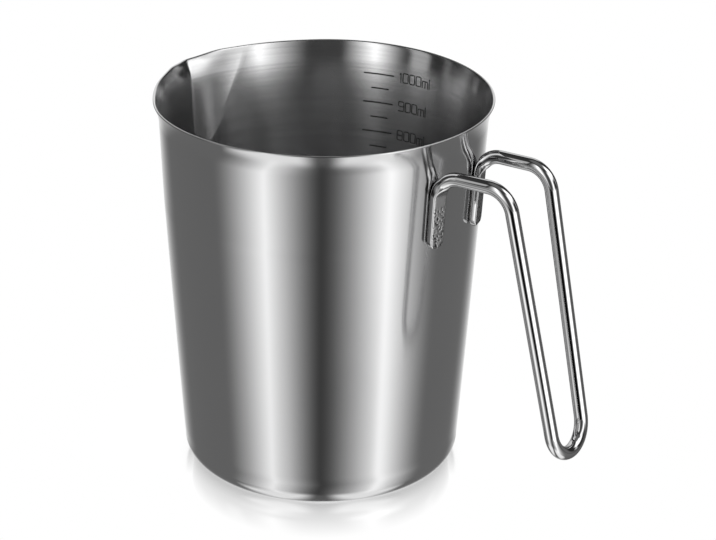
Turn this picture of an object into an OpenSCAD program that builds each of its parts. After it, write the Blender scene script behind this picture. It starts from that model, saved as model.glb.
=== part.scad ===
// One-litre steel measuring jug: a drawn cup with a pressed spout, and a wire handle welded to it.
// The table is z = 0, the cup's axis is Z, and the handle points along +X.

/* [Cup] */
// Height of the rim above the table
cup_h = 133.1; // [110:0.1:170]
// Outer radius of the wall, carried up to the height of the rim
wall_top_r = 56.6; // [50:0.1:70]
// Outer radius of the wall, carried down to the table
wall_base_r = 47.8; // [40:0.1:52]
// How far the wall bulges past a straight taper, halfway up
belly = 0.2; // [0:0.1:2]
// Thickness of the sheet
sheet = 0.8; // [0.5:0.1:1.5]
// Outer radius of the rounded corner between base and wall
corner_r = 6.8; // [3:0.1:12]

/* [Lip] */
// Height of the flared lip
lip_h = 5.5; // [3:0.1:9]
// How far the lip flares out past the wall
lip_flare = 1.7; // [0.5:0.1:4]

/* [Spout] */
// Turn from the handle to the spout, about the cup's axis
spout_turn = 176.8; // [90:0.1:270]
// How far the valley of the spout stands out of the wall, at the height of the rim
spout_out = 3.3; // [2:0.1:8]
// How far the spout runs down from the rim
spout_drop = 36; // [20:1:40]
// How far the tip of the spout flares out past the rest of the lip
tip_flare = 1.9; // [0:0.1:3]
// How far below the rim the tip starts to flare
tip_h = 11; // [10:0.5:20]
// How far the rim dips at the tip of the spout
tip_dip = 1.6; // [0:0.1:3]
// Radius of the valley between the two flanks of the spout
valley_r = 2.4; // [1:0.1:6]
// How far the rim on both sides of the spout is drawn in
side_draw = 0.7; // [0:0.1:1.5]

/* [Handle] */
// Diameter of the wire
wire_d = 4.7; // [4:0.1:7]
// Spacing of the two arms, between the wire's centres
arm_spacing = 24.9; // [20:0.1:36]
// How far below the rim the arms' centres leave the cup
arm_drop = 12.2; // [10:0.1:25]
// Length of the arms, from the wall to the corner with the legs
arm_l = 26.1; // [24:0.1:45]
// How far the arms rise from the cup to the corner with the legs
arm_rise = 0.6; // [-3:0.1:3]
// How far the legs run down from the arms to the centre of the bottom bend
leg_drop = 83.2; // [50:0.1:85]
// How far the legs lean out from the arms to the centre of the bottom bend
leg_spread = 18.2; // [0:0.1:30]
// Radius of the wire's centre in the bend from foot to arm
foot_bend_r = 8.2; // [6:0.1:10]
// Radius of the wire's centre in the bend from arm to leg
leg_bend_r = 9; // [7:0.1:14]
// Radius of the wire's centre in the bottom bend
grip_bend_r = 9.5; // [7:0.1:10]

/* [Feet] */
// Length of the feet, from the arms' centres down to their lower ends
foot_l = 26.3; // [20:0.1:32]
// Width of the flattened feet
foot_w = 6; // [5:0.1:8]
// Thickness of the flattened feet
foot_t = 2.4; // [2:0.1:4]
// Thickness of the weld metal between foot and wall
weld_t = 0.3; // [0.2:0.05:0.6]
// Margin that the weld leaves inside the edges of the foot
weld_margin = 0.8; // [0.4:0.1:1.5]

/* [Hidden] */

// Counts of steps in round stretches
corner_steps = 8;
wall_steps = 8;
band_steps = 4;
tip_steps = 3;
near_steps = 24;
far_steps = 64;
bend_steps = 8;
wire_sides = 20;

// How the lip and the tip curve out, the angles that the spout acts over, and shares of the lip's height
lip_power = 1.3;
tip_power = 2;
dip_span = 14;
draw_at = 38;
draw_span = 24;
near_power = 1.5;
lip_shares = [0.25, 0.5, 0.75, 1];
// Shares of the length of a foot's rounded end
end_shares = [0.06, 0.3, 0.65, 1];
// How far a flattened section is squared up, as a share of the wire's own height
press_share = 1.4;
// Shortest stretch of band below the spout and the feet
band_margin = 2;
// How far the band's lower edge stays inside the edges of the revolved body and reaches down into it
seam = 0.04;
// Length of a foot's flattened stretch past its bend's start, and of its change back to round wire
flat_over = 2;
flat_run = 3;

// Heights of the lower edges of lip, tip and band, of the arms at the cup and of the feet's lower ends
lip_z = cup_h - lip_h;
tip_z = cup_h - tip_h;
arm_z = cup_h - arm_drop;
foot_z = arm_z - foot_l;
band_z = min(cup_h - spout_drop, foot_z) - band_margin;

// Outer radius of the plain wall and its slope, at a height
function wall_r(z) =
    let (t = z / cup_h)
    wall_base_r + (wall_top_r - wall_base_r) * t + 4 * belly * t * (1 - t);
function wall_slope(z) = (wall_top_r - wall_base_r + 4 * belly * (1 - 2 * z / cup_h)) / cup_h;

// Vector of length 1, value between two others, limited value, smooth hump round 0, and turned lists
function unit(v) = v / norm(v);
function lerp(a, b, t) = a + (b - a) * t;
function clamp(v, low, high) = min(max(v, low), high);
function hump(v) = (1 + cos(180 * clamp(v, -1, 1))) / 2;
function degrees(radians) = radians * 180 / PI;
function mirrored(p) = [p.x, -p.y, p.z];
function reversed(list) = [for (k = [len(list) - 1:-1:0]) list[k]];

// Corner arc of the base, tangent to the table and to the leaning wall
base_lean = atan(wall_slope(0));
corner_x = wall_base_r + wall_slope(0) * corner_r - corner_r / cos(base_lean);
function corner_line(r) = [
    for (k = [0:corner_steps])
        let (a = -90 + (90 - base_lean) * k / corner_steps)
        [corner_x + r * cos(a), corner_r + r * sin(a)]
];
function wall_line(inset) = [
    for (k = [1:wall_steps])
        let (z = lerp(corner_r, band_z, k / wall_steps))
        [wall_r(z) - inset, z]
];

// Plain round body, revolved: base, corner and wall up to the lofted band
module drawn_body() {
    outer = concat([[0, 0]], corner_line(corner_r), wall_line(0));
    inner = concat([[0, sheet]], corner_line(corner_r - sheet), wall_line(sheet));
    rotate_extrude()
        polygon(concat(outer, reversed(inner)));
}

// Lip, tip and spout, as functions of height: shares run from 0 where they start to 1 at the rim
function lip_share(z) = pow(clamp((z - lip_z) / lip_h, 0, 1), lip_power);
function tip_share(z) = pow(clamp((z - tip_z) / tip_h, 0, 1), tip_power);
function spout_share(z) = clamp(1 - (cup_h - z) / spout_drop, 0, 1);
function band_r(z) = wall_r(z) + lip_flare * lip_share(z);

// The valley curves out along the longer flare of the tip, measured here from the round band
function valley_out(z) = spout_out * spout_share(z)
    + max(0, (lip_flare + tip_flare) * tip_share(z) - lip_flare * lip_share(z));

// One point of the band. Both flanks of the spout are straight and tangent to the round wall at every height.
function band_point(turn, z, inset) =
    let (
        r = band_r(z),
        flank = acos(r / (r + valley_out(z))),
        rounding = degrees(valley_r * tan(flank) / r),
        draw = side_draw * spout_share(z) * hump((abs(turn) - draw_at) / draw_span),
        reach = (r - draw) / cos(max(0, flank - norm([turn, rounding]))) - inset,
        dip = tip_dip * lip_share(z) * hump(turn / dip_span)
    )
    [reach * cos(spout_turn + turn), reach * sin(spout_turn + turn), z - dip];

// Turns about the axis, from the spout: fine steps at the valley, even steps round the back
near_span = draw_at + draw_span;
band_turns = concat(
    [for (k = [-near_steps:near_steps]) sign(k) * near_span * pow(abs(k) / near_steps, near_power)],
    [for (k = [1:far_steps - 1]) lerp(near_span, 360 - near_span, k / far_steps)]
);
function band_ring(z, inset) = [for (turn = band_turns) band_point(turn, z, inset)];
core_levels = concat(
    [for (k = [1:band_steps]) lerp(band_z, tip_z, k / band_steps)],
    [for (k = [1:tip_steps]) lerp(tip_z, lip_z, k / tip_steps)]
);
band_levels = concat(core_levels, [for (share = lip_shares) lip_z + lip_h * share]);

// Side faces between rings of the same length
function ring_faces(rings, sides, closed) = [
    for (i = [0:rings - (closed ? 1 : 2)], j = [0:sides - 1])
        let (a = i * sides, b = (i + 1) % rings * sides, k = (j + 1) % sides)
        each [[a + j, b + j, b + k], [a + j, b + k, a + k]]
];
function joined(rings) = [for (ring = rings) each ring];

// Upper band with the spout and the lip, lofted up the outer rings, over the rim and down the inner ones
module spout_band() {
    rings = concat(
        [band_ring(band_z - seam, seam), band_ring(band_z, seam)],
        [for (z = band_levels) band_ring(z, 0)],
        [for (z = reversed(band_levels)) band_ring(z, sheet)],
        [band_ring(band_z, sheet - seam), band_ring(band_z - seam, sheet - seam)]
    );
    polyhedron(joined(rings), ring_faces(len(rings), len(band_turns), true));
}

module cup_shell() {
    color("lightsteelblue")
        union() {
            drawn_body();
            spout_band();
        }
}

// Wire's centre line on the left side, from the foot's lower end to the middle of the grip
wire_r = wire_d / 2;
foot_off = weld_t + foot_t / 2;
foot_angle = -asin(arm_spacing / 2 / (wall_r((foot_z + arm_z) / 2) + foot_off));
function foot_point(z) =
    let (r = wall_r(z) + foot_off)
    [r * cos(foot_angle), r * sin(foot_angle), z];
foot_start = foot_point(foot_z);
foot_corner = foot_point(arm_z);
arm_corner = [wall_r(arm_z) + arm_l, -arm_spacing / 2, arm_z + arm_rise];

// The legs lean in so far that the bottom bend is tangent to them
leg_mid = [leg_spread, 0, -leg_drop];
leg_down = unit(leg_mid);
grip_centre = [arm_corner.x, 0, arm_corner.z] + leg_mid;
leg_lean = atan(arm_spacing / 2 / norm(leg_mid))
    - asin(grip_bend_r / norm([norm(leg_mid), arm_spacing / 2]));
across = [0, 1, 0];
foot_up = unit(foot_corner - foot_start);
arm_out = unit(arm_corner - foot_corner);
leg_way = leg_down * cos(leg_lean) + across * sin(leg_lean);

// A bend rounds a corner: its stations are a point, the wire's direction and the length along the arc
function bend(corner, way_in, way_out, r) =
    let (
        turn = acos(way_in * way_out),
        start = corner - way_in * r * tan(turn / 2),
        inward = unit(way_out - way_in * (way_in * way_out))
    )
    [for (k = [0:bend_steps])
        let (a = turn * k / bend_steps)
        [
            start + inward * r * (1 - cos(a)) + way_in * r * sin(a),
            way_in * cos(a) + inward * sin(a),
            r * a * PI / 180
        ]];
function flat_at(past) = clamp(1 - (past - flat_over) / flat_run, 0, 1);

// Stations of half the wire: point, direction, share of flattening and share of the foot's width
end_l = foot_w / 2;
half_path = concat(
    [for (s = end_shares) [foot_start + foot_up * end_l * s, foot_up, 1, sqrt(1 - (1 - s) * (1 - s))]],
    [for (b = bend(foot_corner, foot_up, arm_out, foot_bend_r)) [b[0], b[1], flat_at(b[2]), 1]],
    [for (b = bend(arm_corner, arm_out, leg_way, leg_bend_r)) [b[0], b[1], 0, 1]],
    [for (k = [0:bend_steps])
        let (a = lerp(leg_lean, 90, k / bend_steps))
        [
            grip_centre + grip_bend_r * (leg_down * sin(a) - across * cos(a)),
            across * sin(a) + leg_down * cos(a),
            0,
            1
        ]]
);

// Sideways direction of each station's section, carried along the wire without twist
foot_side = [-sin(foot_angle), cos(foot_angle), 0];
function square_to(v, way) = unit(v - way * (v * way));
sides = [
    for (i = 0, side = foot_side;
        i < len(half_path);
        i = i + 1, side = square_to(side, half_path[min(i, len(half_path) - 1)][1]))
        side
];

// A section goes from a round wire to a pressed, flat-faced foot
function wire_ring(station, side) =
    let (
        out = cross(side, station[1]),
        half_w = lerp(wire_r, foot_w / 2, station[2]) * station[3],
        half_t = lerp(wire_r, foot_t / 2, station[2]),
        rise = wire_r * lerp(1, press_share, station[2])
    )
    [for (k = [0:wire_sides - 1])
        let (a = 360 * k / wire_sides)
        station[0] + side * half_w * cos(a) + out * clamp(rise * sin(a), -half_t, half_t)];

module handle_wire() {
    half = [for (i = [0:len(half_path) - 1]) wire_ring(half_path[i], sides[i])];
    other = [for (i = [len(half) - 2:-1:0]) [for (p = half[i]) mirrored(p)]];
    rings = concat(half, other);
    last = (len(rings) - 1) * wire_sides;
    color("gainsboro")
        polyhedron(joined(rings), concat(
            [[for (k = [0:wire_sides - 1]) k]],
            ring_faces(len(rings), wire_sides, false),
            [[for (k = [wire_sides - 1:-1:0]) last + k]]
        ));
}

// Solid inside the band's outer face, up to the lip, which the weld metal lies on
module band_core() {
    rings = concat([band_ring(band_z, seam)], [for (z = core_levels) band_ring(z, 0)]);
    count = len(band_turns);
    last = (len(rings) - 1) * count;
    polyhedron(joined(rings), concat(
        [[for (k = [0:count - 1]) k]],
        ring_faces(len(rings), count, false),
        [[for (k = [count - 1:-1:0]) last + k]]
    ));
}

// Weld metal fills the gap between a foot's inner face and the wall, and is cut to the wall
weld_l = norm(foot_corner - foot_start) - foot_bend_r - weld_margin - end_l;
weld_w = foot_w - 2 * weld_margin;
foot_out = cross(foot_side, foot_up);
module weld_slab() {
    multmatrix([
        [foot_side.x, foot_up.x, foot_out.x, foot_start.x],
        [foot_side.y, foot_up.y, foot_out.y, foot_start.y],
        [foot_side.z, foot_up.z, foot_out.z, foot_start.z],
        [0, 0, 0, 1]
    ])
        translate([-weld_w / 2, end_l, -foot_t / 2 - weld_t - sheet])
            cube([weld_w, weld_l, weld_t + sheet]);
}

module left_weld() {
    color("dimgray")
        difference() {
            weld_slab();
            band_core();
        }
}

module right_weld() {
    color("dimgray")
        difference() {
            mirror(across)
                weld_slab();
            band_core();
        }
}

cup_shell();
handle_wire();
left_weld();
right_weld();
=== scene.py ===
import math

import bmesh
import bpy
import numpy as np
from mathutils import Matrix, Vector, noise


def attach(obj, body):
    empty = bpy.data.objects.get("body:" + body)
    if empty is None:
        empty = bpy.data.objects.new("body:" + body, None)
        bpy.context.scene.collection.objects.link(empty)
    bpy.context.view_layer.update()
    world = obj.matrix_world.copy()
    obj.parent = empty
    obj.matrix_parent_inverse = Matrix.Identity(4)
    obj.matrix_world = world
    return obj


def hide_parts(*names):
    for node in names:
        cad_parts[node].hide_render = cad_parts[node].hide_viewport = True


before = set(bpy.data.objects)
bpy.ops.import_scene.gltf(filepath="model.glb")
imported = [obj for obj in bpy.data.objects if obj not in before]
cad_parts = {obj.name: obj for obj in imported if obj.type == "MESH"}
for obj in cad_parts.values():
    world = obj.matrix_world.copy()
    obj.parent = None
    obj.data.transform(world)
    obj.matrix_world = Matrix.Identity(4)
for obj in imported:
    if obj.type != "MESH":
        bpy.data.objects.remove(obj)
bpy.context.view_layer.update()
mm = 0.001
ml = 1000  # cubic mm
bpy.context.scene.view_settings.view_transform = "Standard"
print("frame loaded:", ", ".join(sorted(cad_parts)))

# Camera
camera = {
    "place": (479.56, -669.63, 432.88),  # mm from the cup's axis and the table
    "heading": 124.74,  # degrees about Z, from the handle's direction
    "dip": 23.88,  # degrees that it looks down
    "roll": 0.73,  # degrees that its right side is raised
    "lens": 130.1,  # mm, on a sensor of this width
    "sensor": 36,
}


def addCamera():
    heading, dip, roll = (math.radians(camera[k]) for k in ("heading", "dip", "roll"))
    flat = Vector((math.cos(heading), math.sin(heading), 0))
    forward = flat * math.cos(dip) - Vector((0, 0, math.sin(dip)))
    level = forward.cross(Vector((0, 0, 1))).normalized()
    upright = level.cross(forward)
    right = level * math.cos(roll) + upright * math.sin(roll)
    up = upright * math.cos(roll) - level * math.sin(roll)
    data = bpy.data.cameras.new("camera")
    data.lens = camera["lens"]
    data.sensor_width = camera["sensor"]
    data.sensor_fit = "HORIZONTAL"
    eye = bpy.data.objects.new("camera", data)
    turned = Matrix((right, up, -forward)).transposed().to_4x4()
    eye.matrix_world = Matrix.Translation(Vector(camera["place"]) * mm) @ turned
    bpy.context.scene.collection.objects.link(eye)
    bpy.context.scene.camera = eye


addCamera()
print("camera placed")


# Shader maths: a Socket wraps one output, and an expression on it adds Math nodes
class Socket:
    def __init__(self, tree, link=None):
        self.tree = tree
        self.link = link

    def node(self, kind, settings=(), sockets=(), out=0):
        made = self.tree.nodes.new(kind)
        for name, value in dict(settings).items():
            setattr(made, name, value)
        for name, value in dict(sockets).items():
            if isinstance(value, Socket):
                self.tree.links.new(value.link, made.inputs[name])
            else:
                made.inputs[name].default_value = value
        return Socket(self.tree, made.outputs[out] if made.outputs else None)

    def math(self, operation, *values):
        return self.node("ShaderNodeMath", {"operation": operation}, dict(enumerate(values)))

    def __add__(self, other):
        return self.math("ADD", self, other)

    def __sub__(self, other):
        return self.math("SUBTRACT", self, other)

    def __mul__(self, other):
        return self.math("MULTIPLY", self, other)

    def __truediv__(self, other):
        return self.math("DIVIDE", self, other)

    def __pow__(self, other):
        return self.math("POWER", self, other)

    def __abs__(self):
        return self.math("ABSOLUTE", self)

    def __radd__(self, other):
        return self.math("ADD", other, self)

    def __rsub__(self, other):
        return self.math("SUBTRACT", other, self)

    def __rmul__(self, other):
        return self.math("MULTIPLY", other, self)

    def __rtruediv__(self, other):
        return self.math("DIVIDE", other, self)

    def __rpow__(self, other):
        return self.math("POWER", other, self)

    def part(self, axis):
        return self.node("ShaderNodeSeparateXYZ", (), {"Vector": self}, axis)

    def ramp(self, low, high, toLow=0.0, toHigh=1.0):
        return self.node(
            "ShaderNodeMapRange", {"interpolation_type": "SMOOTHSTEP"},
            {"Value": self, "From Min": low, "From Max": high, "To Min": toLow, "To Max": toHigh},
        )

    def clamped(self, low, high):
        return self.node("ShaderNodeMapRange", (), {"Value": self, "From Min": low, "From Max": high})


def makeMaterial(name, surface):
    material = bpy.data.materials.new(name)
    material.use_nodes = True
    material.node_tree.nodes.clear()
    root = Socket(material.node_tree)
    root.node("ShaderNodeOutputMaterial", (), {"Surface": surface(root)})
    return material


def objectPlace(root):
    return root.node("ShaderNodeTexCoord", out="Object")


# Value that a piece's mesh holds at each point
def meshMark(root, name):
    return root.node("ShaderNodeAttribute", {"attribute_name": name}, out="Fac")


def grain(root, at, scale, detail=3.0):
    return root.node("ShaderNodeTexNoise", (), {"Vector": at, "Scale": scale, "Detail": detail})


def blendColour(root, share, first, second):
    ends = {"Factor": share, "A": first, "B": second}
    return root.node("ShaderNodeMix", {"data_type": "RGBA"}, ends, "Result")


# Meshes
def addPiece(name, points, faces, material, smooth=True):
    mesh = bpy.data.meshes.new(name)
    mesh.from_pydata([tuple(p) for p in points], [], faces)
    shape = bmesh.new()
    shape.from_mesh(mesh)
    bmesh.ops.recalc_face_normals(shape, faces=shape.faces)
    shape.to_mesh(mesh)
    shape.free()
    if smooth:
        mesh.shade_smooth()
    mesh.materials.append(material)
    piece = bpy.data.objects.new(name, mesh)
    bpy.context.scene.collection.objects.link(piece)
    return piece


def addMarks(piece, marks):
    for name, values in marks.items():
        mark = piece.data.attributes.new(name, "FLOAT", "POINT")
        mark.data.foreach_set("value", np.asarray(values, np.float32))


def ringFaces(rings, sides, start=0):
    faces = []
    after = [(j + 1) % sides for j in range(sides)]
    for i in range(rings - 1):
        low, high = start + i * sides, start + (i + 1) * sides
        faces += [(low + j, low + k, high + k, high + j) for j, k in enumerate(after)]
    return faces


def unit(v):
    return v / np.linalg.norm(v)


# Cup: sizes of the solid model with a softer lip and a sharper spout, in mm and degrees
cup = {
    "height": 133.1,
    "topRadius": 56.6,
    "baseRadius": 47.8,
    "belly": 0.2,
    "sheet": 0.8,
    "corner": 6.8,
    "lipHeight": 8,  # starts softer than the solid's lip
    "lipFlare": 1.7,
    "lipPower": 2,
    "spoutTurn": 176.8,
    "spoutSkew": 5.0,  # further turn of the valley at its foot
    "skewPower": 0.65,
    "spoutOut": 3.3,
    "spoutDrop": 36,
    "tipFlare": 1.9,
    "tipHeight": 11,
    "tipPower": 2,
    "tipDip": 1.6,
    "dipSpan": 14,
    "creaseTurn": 22.3,  # from the valley to the crease where a flank meets the wall, at the rim
    "creaseLeast": 2.0,
    "creasePower": 0.5,  # below 1 the crease curves
    "flankBulge": 1.7,  # 0 gives straight flanks without a crease
    "bulgeSpan": (0, 15),  # mm below the rim
    "valleyShare": 0.08,  # share of a flank that rounds the valley
    "valleyPower": 1.6,  # above 1 the columns crowd at the valley
    "sideDraw": 0.7,
    "drawAt": 38,
    "drawSpan": 24,
    "columns": 320,
    "spoutColumns": 0.3,  # share of the columns between the creases
    "baseShares": (0.08, 0.3, 0.55, 0.8),
    "cornerRows": 14,
    "wallRows": 46,
    "lipRows": 22,
    "rimRows": 8,
    # finish
    "fineLines": (9, 1500, 3.0),  # scale along the brushed lines and across them, per m, and detail
    "broadLines": (3, 600, 2.0),
    "cloudScale": 35.0,
    "cloudSpan": (0.3, 0.7),
    "cloudShare": 0.3,  # how much the clouds show in the colour
    "streakSpan": (0.35, 0.65),
    "streakShare": 0.7,  # how much the lines show in the colour inside
    "shadeLevel": 0.35,
    "shades": ((0.54, 0.54, 0.545, 1), (0.65, 0.65, 0.65, 1)),
    "roughness": (0.11, 0.13),
    "anisotropy": 0.95,
    "anisotropyTurn": 0.25,  # of a full turn
    "brushedSpan": (90, 122),  # mm above the table
    "brushed": (0.1, 0.14),  # roughness that the lines inside add
    "lipSpan": (125, 129),  # mm above the table
    "lipShare": 0.35,  # share of it that the lip keeps
    "grooveDepth": 0.0004,  # mm
    "outsideDepth": 0.05,  # share of it on the polished outside
    "leanSpan": (45, 7),  # mm below the rim where the brushed grooves inside lean up
    "leanEnd": 5,  # mm in which the lean ends, as the lip turns out
    "leanPower": 4,
    "lean": 0.25,  # slope of the grooves just below the lip
    "plainShares": (0.0, 0.02, 0.5, 0.7),  # columns in which the near flank of the spout is plain
    "baseSpan": (2, 9),  # mm above the table, from rings to level lines
}


# 1 in the middle, falling to 0 at -1 and 1
def hump(share):
    return (1 + np.cos(np.pi * np.clip(share, -1, 1))) / 2


def wallRadius(z):
    t = z / cup["height"]
    return cup["baseRadius"] + (cup["topRadius"] - cup["baseRadius"]) * t + 4 * cup["belly"] * t * (1 - t)


cupSide = np.linspace(-1, 1, cup["columns"], endpoint=False)  # 0 at the valley, -1 opposite


# Turns of the columns from the spout; one column follows each crease
def cupTurns(spout):
    crease = max(cup["creaseTurn"] * spout ** cup["creasePower"], cup["creaseLeast"])
    inner = cup["spoutColumns"]
    past = np.maximum(np.abs(cupSide) - inner, 0) / (1 - inner)
    share = np.minimum(np.abs(cupSide) / inner, 1) ** cup["valleyPower"]
    return np.sign(cupSide) * (share * crease + past * (180 - crease)), crease


# One ring of the cup: round wall, flared lip, and the spout between its creases
def cupRing(z, inset):
    depth = cup["height"] - z

    def share(drop):
        return min(max(1 - depth / drop, 0), 1)

    lip, tip = share(cup["lipHeight"]) ** cup["lipPower"], share(cup["tipHeight"]) ** cup["tipPower"]
    spout = share(cup["spoutDrop"])
    turn, crease = cupTurns(spout)
    flare = cup["lipFlare"] * lip
    radius = wallRadius(z) + flare
    out = cup["spoutOut"] * spout + max(0, (cup["lipFlare"] + cup["tipFlare"]) * tip - flare)
    across = np.minimum(np.hypot(turn / crease, cup["valleyShare"]), 1)
    start, end = cup["bulgeSpan"]
    eased = min(max((depth - start) / (end - start), 0), 1)
    bulge = cup["flankBulge"] * eased * (turn < 0) - 1  # far flank only
    draw = cup["sideDraw"] * spout * hump((np.abs(turn) - cup["drawAt"]) / cup["drawSpan"])
    reach = radius - draw + out * (1 - across) * (1 + bulge * across) - inset
    dip = cup["tipDip"] * lip * hump(turn / cup["dipSpan"])
    skew = cup["spoutSkew"] * (1 - spout) ** cup["skewPower"]
    angle = np.radians(turn + cup["spoutTurn"] + skew)
    return np.stack([reach * np.cos(angle), reach * np.sin(angle), z - dip], axis=-1)


def flatRing(radius, z):
    angle = np.radians(cupTurns(0)[0] + cup["spoutTurn"])
    return np.stack([radius * np.cos(angle), radius * np.sin(angle), np.full_like(angle, z)], axis=-1)


def cupRings():
    slope = (cup["topRadius"] - cup["baseRadius"] + 4 * cup["belly"]) / cup["height"]
    lean = math.atan(slope)
    middle = cup["baseRadius"] + slope * cup["corner"] - cup["corner"] / math.cos(lean)
    edge = cup["sheet"] / 2
    lipFoot, lipTop = cup["height"] - cup["lipHeight"], cup["height"] - edge

    def half(inset):
        bend = cup["corner"] - inset
        arc = np.linspace(-math.pi / 2, -lean, cup["cornerRows"])
        rings = [flatRing(middle * share, inset) for share in cup["baseShares"]]
        rings += [flatRing(middle + bend * math.cos(a), cup["corner"] + bend * math.sin(a)) for a in arc]
        wall = np.linspace(cup["corner"], lipFoot, cup["wallRows"])
        lip = np.linspace(lipFoot, lipTop, cup["lipRows"])
        return rings + [cupRing(z, inset) for z in (*wall[1:], *lip[1:])]

    over = [math.pi * k / cup["rimRows"] for k in range(1, cup["rimRows"])]
    rim = [cupRing(lipTop + edge * math.sin(a), edge * (1 - math.cos(a))) for a in over]
    return half(0) + rim + half(cup["sheet"])[::-1]


def cupMetal(root):
    at = objectPlace(root)
    x, y, z = (at.part(axis) for axis in "XYZ")
    height = z / mm
    flat = height.ramp(*cup["baseSpan"], 1, 0)
    around = z - (x * x + y * y) ** 0.5 * flat  # level lines round the wall, rings on the base

    def lines(along, across, detail):
        parts = {"X": x * along, "Y": y * along, "Z": around * across}
        return grain(root, root.node("ShaderNodeCombineXYZ", (), parts), 1.0, detail)

    inside, worked = meshMark(root, "inside"), meshMark(root, "worked")
    brush = (lines(*cup["fineLines"]) + lines(*cup["broadLines"])) / 2
    cloud = grain(root, at, cup["cloudScale"])
    streak = (brush.ramp(*cup["streakSpan"]) - 0.5) * (inside * cup["streakShare"])
    shade = cloud * cup["cloudShare"] + streak + cup["shadeLevel"]
    colour = blendColour(root, shade, *cup["shades"])
    lip = height.ramp(*cup["lipSpan"], 1, cup["lipShare"])
    brushed = inside * height.ramp(*cup["brushedSpan"], *cup["brushed"]) * lip
    outside = cup["outsideDepth"]
    grooves = brush * (worked * (1 - outside) + outside) * (cup["grooveDepth"] * mm)
    low, high = (cup["height"] - depth for depth in cup["leanSpan"])
    rise = height.clamped(low, high) ** cup["leanPower"]
    slope = rise * height.clamped(high + cup["leanEnd"], high) * worked * cup["lean"]
    facing = root.node("ShaderNodeNewGeometry", out="Normal")
    upward = root.node("ShaderNodeCombineXYZ", (), {"Z": slope})
    leaning = root.node("ShaderNodeVectorMath", {"operation": "ADD"}, {0: facing, 1: upward})
    normal = root.node("ShaderNodeVectorMath", {"operation": "NORMALIZE"}, {0: leaning})
    bump = root.node("ShaderNodeBump", (), {
        "Strength": 1.0, "Distance": 1.0, "Height": grooves, "Normal": normal,
    })
    return root.node("ShaderNodeBsdfPrincipled", (), {
        "Base Color": colour, "Metallic": 1.0,
        "Roughness": cloud.ramp(*cup["cloudSpan"], *cup["roughness"]) + brushed,
        "Anisotropic": cup["anisotropy"], "Anisotropic Rotation": cup["anisotropyTurn"], "Normal": bump,
    })


cupRows = cupRings()
cupPoints = [(0, 0, 0), *np.concatenate(cupRows), (0, 0, cup["sheet"])]
cupFaces = ringFaces(len(cupRows), cup["columns"], 1)
topPole = len(cupPoints) - 1
lastRing = topPole - cup["columns"]
for j in range(cup["columns"]):
    k = (j + 1) % cup["columns"]
    cupFaces += [(0, 1 + k, 1 + j), (topPole, lastRing + j, lastRing + k)]
cupPiece = addPiece("cup", np.array(cupPoints) * mm, cupFaces, makeMaterial("brushedCup", cupMetal))
cupInside = np.arange(len(cupPoints)) > len(cupPoints) / 2
cupPlain = np.interp(cupSide, cup["plainShares"], (0, 1, 1, 0))
cupWorked = cupInside * (1 - np.array([0, *np.tile(cupPlain, len(cupRows)), 0]))
addMarks(cupPiece, {"inside": cupInside, "worked": cupWorked})
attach(cupPiece, "root")
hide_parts("cup_shell")
print("cup made:", len(cupFaces), "faces")

# Handle: one bent wire with two flattened feet, in mm and degrees
handle = {
    "wire": 4.68,
    "armSpacing": 24.9,
    "armDrop": 12.2,
    "armLength": 26.1,
    "armRise": 0.6,
    "legDrop": 83.2,
    "legSpread": 18.2,
    "footBend": 8.2,
    "legBend": 9.0,
    "gripBend": 9.5,
    "footLength": 26.3,
    "footWidth": 6.0,
    "footThick": 2.4,
    "weld": 0.3,
    "flatOver": 0.2,  # mm of bend that is still pressed flat
    "flatRun": 5.5,  # mm in which it turns round again
    "flatPower": 8,  # squareness of the pressed section; 2 is round
    "sides": 64,
    "bendRows": 26,
    "endRows": 10,
    "footRows": 72,
    "endStart": 0.35,  # share of a row, so that the end isn't a point
    "endPower": 5,
    "endThin": 0.8,  # share of the thickness that is gone at the end
    # pressed face and pits: share at which they start or end, and how steeply
    "faceStart": (0.9, 10),  # of the thickness
    "faceEnd": (0.92, -8),  # of the width
    "pitTop": (0.85, -6),  # of the foot's height
    "pitNoise": (5, 0.6),  # contrast, and what stays smooth
    "pitDepth": 0.2,  # mm
    "pitSize": 0.62,  # mm
    # finish
    "cloudScale": 180.0,
    "cloudSpan": (0.3, 0.7),
    "cloudRelief": 0.05,
    "roughGrain": (1600.0, 4.0),  # scale and detail on the pressed face
    "shades": ((0.66, 0.66, 0.665, 1), (0.73, 0.73, 0.73, 1)),
    "pressedShade": (0.5, 0.5, 0.5, 1),
    "pittedShade": (0.06, 0.06, 0.06, 1),
    "pittedSpan": (0.3, 0.8),
    "roughness": (0.03, 0.05),
    "pressedRoughness": 0.24,  # what the pressed face adds
    "edgeTint": (0.4, 0.4, 0.4, 1),
    "bump": 0.25,
    "bumpDepth": 0.1,  # mm
}


def mix(a, b, share):
    return a + (b - a) * share


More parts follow.
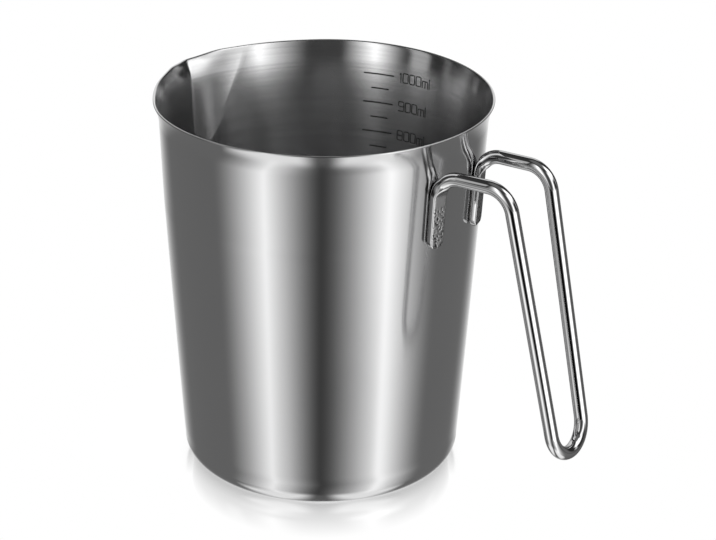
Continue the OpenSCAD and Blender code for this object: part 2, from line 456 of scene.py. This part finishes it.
# Stations of half the wire: point, direction, and shares of flattening, width and thickness
def handleStations():
    armHeight = cup["height"] - handle["armDrop"]
    footHeight = armHeight - handle["footLength"]
    out = handle["weld"] + handle["footThick"] / 2
    halfSpacing = handle["armSpacing"] / 2
    angle = -math.asin(halfSpacing / (wallRadius((footHeight + armHeight) / 2) + out))

    def onWall(z):
        radius = wallRadius(z) + out
        return np.array([radius * math.cos(angle), radius * math.sin(angle), z])

    foot, footCorner = onWall(footHeight), onWall(armHeight)
    armReach = wallRadius(armHeight) + handle["armLength"]
    armCorner = np.array([armReach, -halfSpacing, armHeight + handle["armRise"]])
    across = np.array([0.0, 1.0, 0.0])
    middle = np.array([handle["legSpread"], 0, -handle["legDrop"]])
    down = unit(middle)
    gripCentre = armCorner * (1, 0, 1) + middle
    run = np.linalg.norm(middle)
    lean = math.atan(halfSpacing / run) - math.asin(handle["gripBend"] / math.hypot(run, halfSpacing))
    footWay, armWay = unit(footCorner - foot), unit(armCorner - footCorner)
    legWay = down * math.cos(lean) + across * math.sin(lean)

    def bend(corner, wayIn, wayOut, radius):
        turn = math.acos(wayIn @ wayOut)
        start = corner - wayIn * radius * math.tan(turn / 2)
        inward = unit(wayOut - wayIn * (wayIn @ wayOut))
        for a in np.linspace(0, turn, handle["bendRows"]):
            point = start + inward * radius * (1 - math.cos(a)) + wayIn * radius * math.sin(a)
            yield point, wayIn * math.cos(a) + inward * math.sin(a), radius * a

    endLength = handle["footWidth"] / 2
    stations = []
    for k in range(handle["endRows"]):
        s = 1 - math.cos(math.pi / 2 * (k + handle["endStart"]) / handle["endRows"])
        narrow = math.sqrt(1 - (1 - s) ** 2)
        thin = 1 - (1 - s) ** handle["endPower"] * handle["endThin"]
        stations.append((foot + footWay * endLength * s, footWay, 1, narrow, thin))
    footBend = list(bend(footCorner, footWay, armWay, handle["footBend"]))
    for share in np.linspace(0, 1, handle["footRows"], endpoint=False):
        point = mix(foot + footWay * endLength, footBend[0][0], share)
        stations.append((point, footWay, 1, 1, 1))
    for point, way, past in footBend:
        flat = min(max(1 - (past - handle["flatOver"]) / handle["flatRun"], 0), 1)
        stations.append((point, way, flat * flat * (3 - 2 * flat), 1, 1))
    legBend = bend(armCorner, armWay, legWay, handle["legBend"])
    stations += [(point, way, 0, 1, 1) for point, way, _ in legBend]
    for a in np.linspace(lean, math.pi / 2, handle["bendRows"]):
        point = gripCentre + handle["gripBend"] * (down * math.sin(a) - across * math.cos(a))
        stations.append((point, across * math.sin(a) + down * math.cos(a), 0, 1, 1))
    return stations, np.array([-math.sin(angle), math.cos(angle), 0])


# A section goes from round wire to a flat-faced foot; pits roughen the outer face of the foot
def handleRings():
    stations, side = handleStations()
    turn = np.linspace(0, 2 * math.pi, handle["sides"], endpoint=False)
    wireRadius = handle["wire"] / 2
    footStart = handle["endRows"]
    footEnd = footStart + handle["footRows"]
    flatFrom, flatTo = (stations[k][0][2] for k in (footStart, footEnd))
    contrast, smooth = handle["pitNoise"]
    rings, marks = [], []

    def edge(value, name):
        limit, steep = handle[name]
        return np.clip((value - limit) * steep, 0, 1)

    for point, way, flat, narrow, thin in stations:
        side = unit(side - way * (side @ way))
        out = np.cross(side, way)
        power = mix(2, handle["flatPower"], flat)
        reach = (np.abs(np.cos(turn)) ** power + np.abs(np.sin(turn)) ** power) ** (-1 / power)
        along, above = reach * np.cos(turn), reach * np.sin(turn)
        wide = along * mix(wireRadius, handle["footWidth"] / 2, flat) * narrow
        high = above * mix(wireRadius, handle["footThick"] / 2, flat) * thin
        ring = point + np.outer(wide, side) + np.outer(high, out)
        height = (point[2] - flatFrom) / (flatTo - flatFrom)
        face = flat * edge(above, "faceStart") * edge(np.abs(along), "faceEnd")
        worn = face * edge(height, "pitTop")
        for k in np.nonzero(worn)[0]:
            rough = noise.noise(Vector(ring[k] / handle["pitSize"]))
            pit = worn[k] * min(max(rough * contrast - smooth, 0), 1)
            ring[k] -= out * pit * handle["pitDepth"]
            worn[k] = pit
        rings.append(ring)
        marks.append(np.stack([face, worn]))
    back = slice(-2, None, -1)
    return rings + [ring * (1, -1, 1) for ring in rings[back]], marks + marks[back]


def wireMetal(root):
    at = objectPlace(root)
    pressed, pitted = meshMark(root, "pressed"), meshMark(root, "pitted")
    cloud = grain(root, at, handle["cloudScale"])
    rough = grain(root, at, *handle["roughGrain"])
    bright = blendColour(root, cloud, *handle["shades"])
    matt = blendColour(root, pressed, bright, handle["pressedShade"])
    colour = blendColour(root, pitted.ramp(*handle["pittedSpan"]), matt, handle["pittedShade"])
    bump = root.node("ShaderNodeBump", (), {
        "Strength": handle["bump"], "Distance": handle["bumpDepth"] * mm,
        "Height": rough * pressed + cloud * handle["cloudRelief"],
    })
    polish = cloud.ramp(*handle["cloudSpan"], *handle["roughness"])
    return root.node("ShaderNodeBsdfPrincipled", (), {
        "Base Color": colour, "Metallic": 1.0, "Roughness": polish + pressed * handle["pressedRoughness"],
        "Specular Tint": handle["edgeTint"], "Normal": bump,
    })


wireRings, wireMarks = handleRings()
wireFaces = ringFaces(len(wireRings), handle["sides"])
wireEnd = (len(wireRings) - 1) * handle["sides"]
wireFaces += [tuple(range(handle["sides"])), tuple(range(wireEnd, wireEnd + handle["sides"]))]
wireMaterial = makeMaterial("polishedWire", wireMetal)
wirePiece = addPiece("handle", np.concatenate(wireRings) * mm, wireFaces, wireMaterial)
addMarks(wirePiece, dict(zip(("pressed", "pitted"), np.concatenate(wireMarks, axis=1))))
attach(wirePiece, "root")
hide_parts("handle_wire")
print("handle made:", len(wireFaces), "faces")

# Weld metal between the feet and the wall: the solids stay
welds = {
    "rippleScale": 900.0,
    "rippleSpan": (0.2, 0.8),
    "shades": ((0.3, 0.29, 0.28, 1), (0.5, 0.49, 0.48, 1)),
    "roughness": (0.3, 0.5),
    "bump": 0.4,
    "bumpDepth": 0.1,  # mm
}


def weldMetal(root):
    ripple = grain(root, objectPlace(root), welds["rippleScale"])
    bump = root.node("ShaderNodeBump", (), {
        "Strength": welds["bump"], "Distance": welds["bumpDepth"] * mm, "Height": ripple,
    })
    return root.node("ShaderNodeBsdfPrincipled", (), {
        "Base Color": blendColour(root, ripple, *welds["shades"]), "Metallic": 1.0,
        "Roughness": ripple.ramp(*welds["rippleSpan"], *welds["roughness"]), "Normal": bump,
    })


weldMaterial = makeMaterial("dullWeld", weldMetal)
for weld in ("left_weld", "right_weld"):
    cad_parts[weld].data.materials.clear()
    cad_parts[weld].data.materials.append(weldMaterial)
print("welds finished")

# Printed scale inside the cup, in mm and degrees about Z
scale = {
    "longTick": (110.1, 98.6),
    "shortTick": (107.0, 100.6),
    "tickWidth": 0.5,
    "textTurn": 95.9,
    "textHeight": 3.45,
    "digitWidth": 2.1,
    "digitStep": 2.75,
    "oneStep": 1.25,
    "mWidth": 2.5,
    "mStep": 3.2,
    "stroke": 0.4,
    "rounding": 0.55,
    "roundingSteps": 5,
    # shares of the width or height of a figure
    "mHeight": 0.68,
    "flagFoot": 0.82,
    "middleBar": 0.3,
    "crossbar": 0.4,
    "stem": 0.75,
    "slantFoot": 0.4,
    "flagWidth": 0.4,  # mm
    "full": 1000,  # ml
    "step": 50,
    "lowest": 100,
    "slices": 800,  # of the cup, to find its volume
    "tickPoints": 12,
    "proud": 0.03,  # mm of ink above the sheet
    "sunk": 0.1,
    # finish
    "wearScale": 1400.0,
    "wearSpan": (0.35, 0.75),
    "shades": ((0.012, 0.012, 0.012, 1), (0.05, 0.05, 0.05, 1)),
    "roughSpan": (0.2, 0.8),
    "roughness": (0.35, 0.6),
    "gloss": 0.3,
}
wide, tall, mid = scale["digitWidth"], scale["textHeight"], scale["textHeight"] / 2
mWide, mTall = scale["mWidth"], tall * scale["mHeight"]
flag, flagFoot = scale["flagWidth"], tall * scale["flagFoot"]
barStart, slantFoot = wide * scale["middleBar"], wide * scale["slantFoot"]
crossbar, stem, stemTop = tall * scale["crossbar"], wide * scale["stem"], tall * scale["stem"]
# Strokes of each figure; a stroke that ends where it starts is a loop
figures = {
    "0": [[(0, 0), (0, tall), (wide, tall), (wide, 0), (0, 0)]],
    "1": [[(0, flagFoot), (flag, tall), (flag, 0)]],
    "2": [[(0, tall), (wide, tall), (wide, mid), (0, mid), (0, 0), (wide, 0)]],
    "3": [[(0, tall), (wide, tall), (wide, 0), (0, 0)], [(barStart, mid), (wide, mid)]],
    "4": [[(0, tall), (0, crossbar), (wide, crossbar)], [(stem, stemTop), (stem, 0)]],
    "5": [[(wide, tall), (0, tall), (0, mid), (wide, mid), (wide, 0), (0, 0)]],
    "6": [[(wide, tall), (0, tall), (0, 0), (wide, 0), (wide, mid), (0, mid)]],
    "7": [[(0, tall), (wide, tall), (slantFoot, 0)]],
    "8": [[(0, 0), (0, tall), (wide, tall), (wide, 0), (0, 0)], [(0, mid), (wide, mid)]],
    "9": [[(wide, mid), (0, mid), (0, tall), (wide, tall), (wide, 0), (0, 0)]],
    "m": [[(0, 0), (0, mTall), (mWide, mTall), (mWide, 0)], [(mWide / 2, mTall), (mWide / 2, 0)]],
    "l": [[(0, tall), (0, 0)]],
}
figureSteps = {"1": scale["oneStep"], "m": scale["mStep"], "l": 0}


# Points along a stroke with rounded corners, and whether it is a loop
def roundedLine(points):
    corners = np.array(points, float)
    closed = np.allclose(corners[0], corners[-1])
    if closed:
        start = (corners[0] + corners[1]) / 2
        corners = np.vstack([start, corners[1:], start])
    line = [corners[0]]
    shares = np.linspace(0, 1, scale["roundingSteps"])
    for before, corner, after in zip(corners[:-2], corners[1:-1], corners[2:]):
        nearest = min(np.linalg.norm(corner - before), np.linalg.norm(after - corner))
        reach = min(scale["rounding"], nearest / 2)
        first, last = corner + unit(before - corner) * reach, corner + unit(after - corner) * reach
        line += [mix(mix(first, corner, t), mix(corner, last, t), t) for t in shares]
    return np.array(line + [corners[-1]]), closed


# Ribbon of ink along a line drawn on the inner wall, as a thin closed solid
def inkRibbon(line, closed, width, turn, z, points, faces):
    if closed:
        line = line[:-1]
    ways = np.roll(line, -1, 0) - np.roll(line, 1, 0) if closed else np.gradient(line, axis=0)
    ways /= np.linalg.norm(ways, axis=1)[:, None]
    if not closed:
        line = line.copy()
        line[0] -= ways[0] * width / 2
        line[-1] += ways[-1] * width / 2
    normals = np.stack([-ways[:, 1], ways[:, 0]], -1) * width / 2
    first = len(points)
    top, under = scale["proud"], -scale["sunk"]
    for p, n in zip(line, normals):
        for place, lift in ((p - n, top), (p + n, top), (p + n, under), (p - n, under)):
            radius = wallRadius(z + place[1]) - cup["sheet"]
            angle = math.radians(turn) - place[0] / radius
            inner = radius - lift
            points.append((inner * math.cos(angle), inner * math.sin(angle), z + place[1]))
    sides = 4  # of the ribbon's section
    faces += ringFaces(len(line), sides, first)
    last = first + (len(line) - 1) * sides
    if closed:
        after = [(j + 1) % sides for j in range(sides)]
        faces += [(last + j, last + k, first + k, first + j) for j, k in enumerate(after)]
    else:
        faces += [tuple(range(first, first + sides)), tuple(range(last, last + sides))]


# Height at which the cup holds each volume, from the inner profile
def markHeights(volumes):
    z = np.linspace(cup["sheet"], cup["height"], scale["slices"])
    inner = wallRadius(z) - cup["sheet"]
    bend = cup["corner"] - cup["sheet"]
    low = z < cup["corner"]
    inner[low] -= bend - np.sqrt(np.maximum(bend ** 2 - (cup["corner"] - z[low]) ** 2, 0))
    areas = math.pi * inner ** 2
    layers = (areas[1:] + areas[:-1]) / 2 * np.diff(z)
    return np.interp(volumes, np.concatenate([[0], np.cumsum(layers)]) / ml, z)


def scaleMesh():
    points, faces = [], []
    volumes = list(range(scale["full"], scale["lowest"] - 1, -scale["step"]))
    for volume, z in zip(volumes, markHeights(volumes)):
        labelled = volume % (2 * scale["step"]) == 0
        start, end = scale["longTick"] if labelled else scale["shortTick"]
        length = math.radians(start - end) * (wallRadius(z) - cup["sheet"])
        along = np.linspace(0, length, scale["tickPoints"])
        tick = np.stack([along, np.zeros_like(along)], -1)
        inkRibbon(tick, False, scale["tickWidth"], start, z, points, faces)
        print("mark", volume, "ml at", round(float(z), 1), "mm")
        x = 0
        for figure in f"{volume}ml" if labelled else "":
            for stroke in figures[figure]:
                line, closed = roundedLine(stroke)
                inkRibbon(line + (x, -mid), closed, scale["stroke"], scale["textTurn"], z, points, faces)
            x += figureSteps.get(figure, scale["digitStep"])
    return np.array(points) * mm, faces


def scaleInk(root):
    wear = grain(root, objectPlace(root), scale["wearScale"])
    return root.node("ShaderNodeBsdfPrincipled", (), {
        "Base Color": blendColour(root, wear.ramp(*scale["wearSpan"]), *scale["shades"]),
        "Roughness": wear.ramp(*scale["roughSpan"], *scale["roughness"]),
        "Specular IOR Level": scale["gloss"],
    })


scalePoints, scaleFaces = scaleMesh()
scaleMaterial = makeMaterial("blackPrint", scaleInk)
scalePiece = addPiece("volumeScale", scalePoints, scaleFaces, scaleMaterial, smooth=False)
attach(scalePiece, "root")
print("scale made:", len(scaleFaces), "faces")

# Studio: white floor and surroundings, and a wide sphere of softboxes that only the metal sees
studio = {
    "floorSize": 12.0,  # m
    "floorCloud": 4.0,  # scale
    "floorShades": ((0.9, 0.9, 0.9, 1), (0.93, 0.93, 0.93, 1)),
    "floorRoughness": 0.5,
    "white": (1, 1, 1, 1),
    "shadeSpan": (43, 52),  # mm from the cup's axis
    "shadeShare": 0.8,  # share of glow at the base, where the shadow lies
    "mirrorSpan": (60, 90),  # mm from the cup's axis
    "mirrorFade": 23,  # mm from the base towards the front
    "mirrorEdge": 45,  # mm from the axis where the fade starts
    "mirrorShare": 0.45,
    "mirrorBlur": 0.15,
    "sphereRadius": 2.5,  # m
    "sphereRows": 48,
    "sphereColumns": 96,
    "sphereHeight": 0.08,  # m
    "sphereTurn": -54.38,  # degrees about Z, towards the camera
    # degrees from the camera to the middle, half widths on both sides, level
    "softboxes": ((-42, 41, 41.5, 1.42), (49, 50, 46, 1.45)),
    "upperBoxes": ((-38, 26, 28, 1.95), (43, 28, 26, 2.0)),
    "upperSpan": (-2, 8),  # degrees above the level
    "softboxPower": 1.6,
    "gap": (-3, 8, 60, 0.07),  # middle, span, level
    "side": (-6, 6, 0.19, 0.03),  # degrees above the level, levels
    "strips": ((-97, 5, 0.2), (-118, 9, 0.22), (102, 6, 0.8)),  # middle, half width, level
    "stripHeight": (0, 12),
    "back": (134, 180),
    "backLevels": (0.75, 0.85),  # left and right
    "backTop": (150, 165, 1.0),
    "backHeight": (-8, 4),
    "backEnd": (36, 46),
    "softEdge": (0, 0.5),  # share of the half width in which a panel or card fades in
    # middle and half width about Z, then up, and level
    "panels": ((-73, 10, 24, 27, 0.55), (86, 38, 48, 26, 1.7), (46, 30, -8, 14, 1.0)),
    # the same of black cards, and how much they take
    "cards": ((-8, 30, -10, 12, 0.97), (-60, 44, -10, 12, 0.6), (82, 32, -8, 12, 0.55),
              (26, 30, -39, 9, 0.26), (-50, 26, -41, 11, 0.12)),
    # low pattern that the base's corner mirrors: sine to the right, levels
    "lowGap": (0.03, 0.22, 0.15, 1.2),
    "lowSide": (0.55, 0.85, 1.0, 0.3),
    "lowTurn": (85, 115, -58, -72),
    "lowRun": 12,
    "roof": (48, 60),
    "roofLevel": 0.04,
    "top": (62, 72),
    "topLevel": 0.16,
}


# White floor that mirrors the base faintly and keeps its shadow
def floorPaint(root):
    at = objectPlace(root)
    colour = blendColour(root, grain(root, at, studio["floorCloud"]), *studio["floorShades"])
    paint = root.node("ShaderNodeBsdfPrincipled", (), {
        "Base Color": colour, "Roughness": studio["floorRoughness"],
    })
    glow = root.node("ShaderNodeEmission", (), {"Color": studio["white"], "Strength": 1.0})
    gloss = root.node("ShaderNodeBsdfGlossy", (), {
        "Color": studio["white"], "Roughness": studio["mirrorBlur"],
    })
    away = root.node("ShaderNodeVectorMath", {"operation": "LENGTH"}, {0: at}, "Value") / mm
    white = root.node("ShaderNodeMixShader", (), {
        0: away.ramp(*studio["shadeSpan"], studio["shadeShare"], 1.0), 1: paint, 2: glow,
    })
    x, y = (at.part(axis) / mm for axis in "XY")
    front = math.radians(studio["sphereTurn"])
    ahead = x * math.cos(front) + y * math.sin(front)
    across = y * math.cos(front) - x * math.sin(front)
    edge = root.math("MAXIMUM", studio["mirrorEdge"] ** 2 - across * across, 0) ** 0.5
    fade = (ahead - edge).clamped(studio["mirrorFade"], 0)
    return root.node("ShaderNodeMixShader", (), {
        0: away.ramp(*studio["mirrorSpan"], studio["mirrorShare"], 0.0) * fade, 1: white, 2: gloss,
    })


# Light by direction: turn about Z from the camera and rise above the level, in degrees
def softboxLight(root):
    at = objectPlace(root)
    x, y, z = (at.part(axis) for axis in "XYZ")
    turn = root.math("ARCTAN2", y, x) * math.degrees(1)
    rise = root.math("ARCTAN2", z, (x * x + y * y) ** 0.5) * math.degrees(1)

    def tent(value, centre, before, after):
        off = value - centre
        return root.math("MAXIMUM", 1 - root.math("MAXIMUM", off / after, off / -before), 0)

    def area(centre, half, height, halfHeight):
        across = tent(turn, centre, half, half).ramp(*studio["softEdge"])
        return across * tent(rise, height, halfHeight, halfHeight).ramp(*studio["softEdge"])

    middle, near, far, dark = studio["gap"]
    level = abs(turn - middle).ramp(near, far, dark, rise.ramp(*studio["side"]))
    upper = rise.ramp(*studio["upperSpan"])
    for boxes, share in ((studio["softboxes"], 1 - upper), (studio["upperBoxes"], upper)):
        for centre, before, after, peak in boxes:
            level = level + tent(turn, centre, before, after) ** studio["softboxPower"] * share * peak
    for *place, share in studio["cards"]:
        level = level * (1 - area(*place) * share)
    for centre, half, peak in studio["strips"]:
        level = level + tent(turn, centre, half, half) * rise.ramp(*studio["stripHeight"]) * peak
    above = rise.ramp(*studio["backHeight"])
    for side, peak in zip((-1, 1), studio["backLevels"]):
        level = level + (turn * side).ramp(*studio["back"]) * (1 - above) * peak
    start, end, peak = studio["backTop"]
    level = level + abs(turn).ramp(start, end) * above * rise.ramp(*studio["backEnd"], 1, 0) * peak
    aside = abs(y) / studio["sphereRadius"]
    low = aside.ramp(*studio["lowGap"]) * aside.ramp(*studio["lowSide"])
    lowest = abs(turn).ramp(*studio["lowTurn"])
    lowShare = (rise - lowest).clamped(studio["lowRun"], 0)
    level = level * (1 - lowShare) + low * lowShare
    roof = rise.ramp(*studio["roof"])
    top = rise.ramp(*studio["top"], studio["roofLevel"], studio["topLevel"])
    level = level * (1 - roof) + roof * top
    for *place, peak in studio["panels"]:
        level = level + area(*place) * peak
    return root.node("ShaderNodeEmission", (), {"Color": level, "Strength": 1.0})


def addStudio():
    half = studio["floorSize"] / 2
    corners = [(-half, -half, 0), (half, -half, 0), (half, half, 0), (-half, half, 0)]
    paint = makeMaterial("paleFloor", floorPaint)
    floor = addPiece("floor", corners, [(0, 1, 2, 3)], paint, smooth=False)
    floor.visible_glossy = False
    shape = bmesh.new()
    columns, rows = studio["sphereColumns"], studio["sphereRows"]
    bmesh.ops.create_uvsphere(shape, u_segments=columns, v_segments=rows, radius=studio["sphereRadius"])
    mesh = bpy.data.meshes.new("softboxes")
    shape.to_mesh(mesh)
    shape.free()
    mesh.materials.append(makeMaterial("softboxes", softboxLight))
    sphere = bpy.data.objects.new("softboxes", mesh)
    sphere.location.z = studio["sphereHeight"]
    sphere.rotation_euler.z = math.radians(studio["sphereTurn"])
    bpy.context.scene.collection.objects.link(sphere)
    sphere.visible_camera = False
    sphere.visible_diffuse = False
    sphere.visible_shadow = False
    world = bpy.data.worlds.new("studio")
    world.use_nodes = True
    light = world.node_tree.nodes["Background"].inputs
    light["Color"].default_value = studio["white"]
    light["Strength"].default_value = 1
    bpy.context.scene.world = world


addStudio()
print("studio lit")
